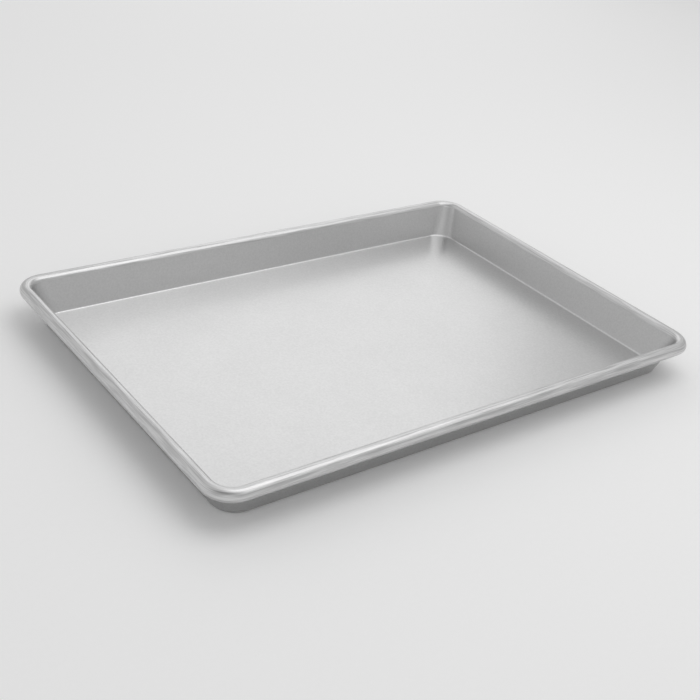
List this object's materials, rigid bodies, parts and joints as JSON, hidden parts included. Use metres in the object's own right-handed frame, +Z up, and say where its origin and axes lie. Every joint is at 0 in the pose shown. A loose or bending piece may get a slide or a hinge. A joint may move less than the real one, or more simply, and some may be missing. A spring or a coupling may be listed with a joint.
{
  "type": "sheet pan",
  "caption": "Rectangular metal sheet pan with a flat floor, low leaning walls, rounded corners and a rim rolled round a wire, for baking and roasting.",
  "frame": {"origin": "middle of the underside, on the surface that the pan stands on", "axes": "+X along the pan's length, +Y across its width, +Z up out of its open top"},
  "size_m": [0.398, 0.2774, 0.0273],
  "materials": {
    "coated_steel": "satin, fine even grain",
    "drawn_wire": "drawn, bare"
  },
  "bodies": {
    "root": {"pan_body": "coated_steel", "rim_wire": "drawn_wire"}
  },
  "joints": []
}
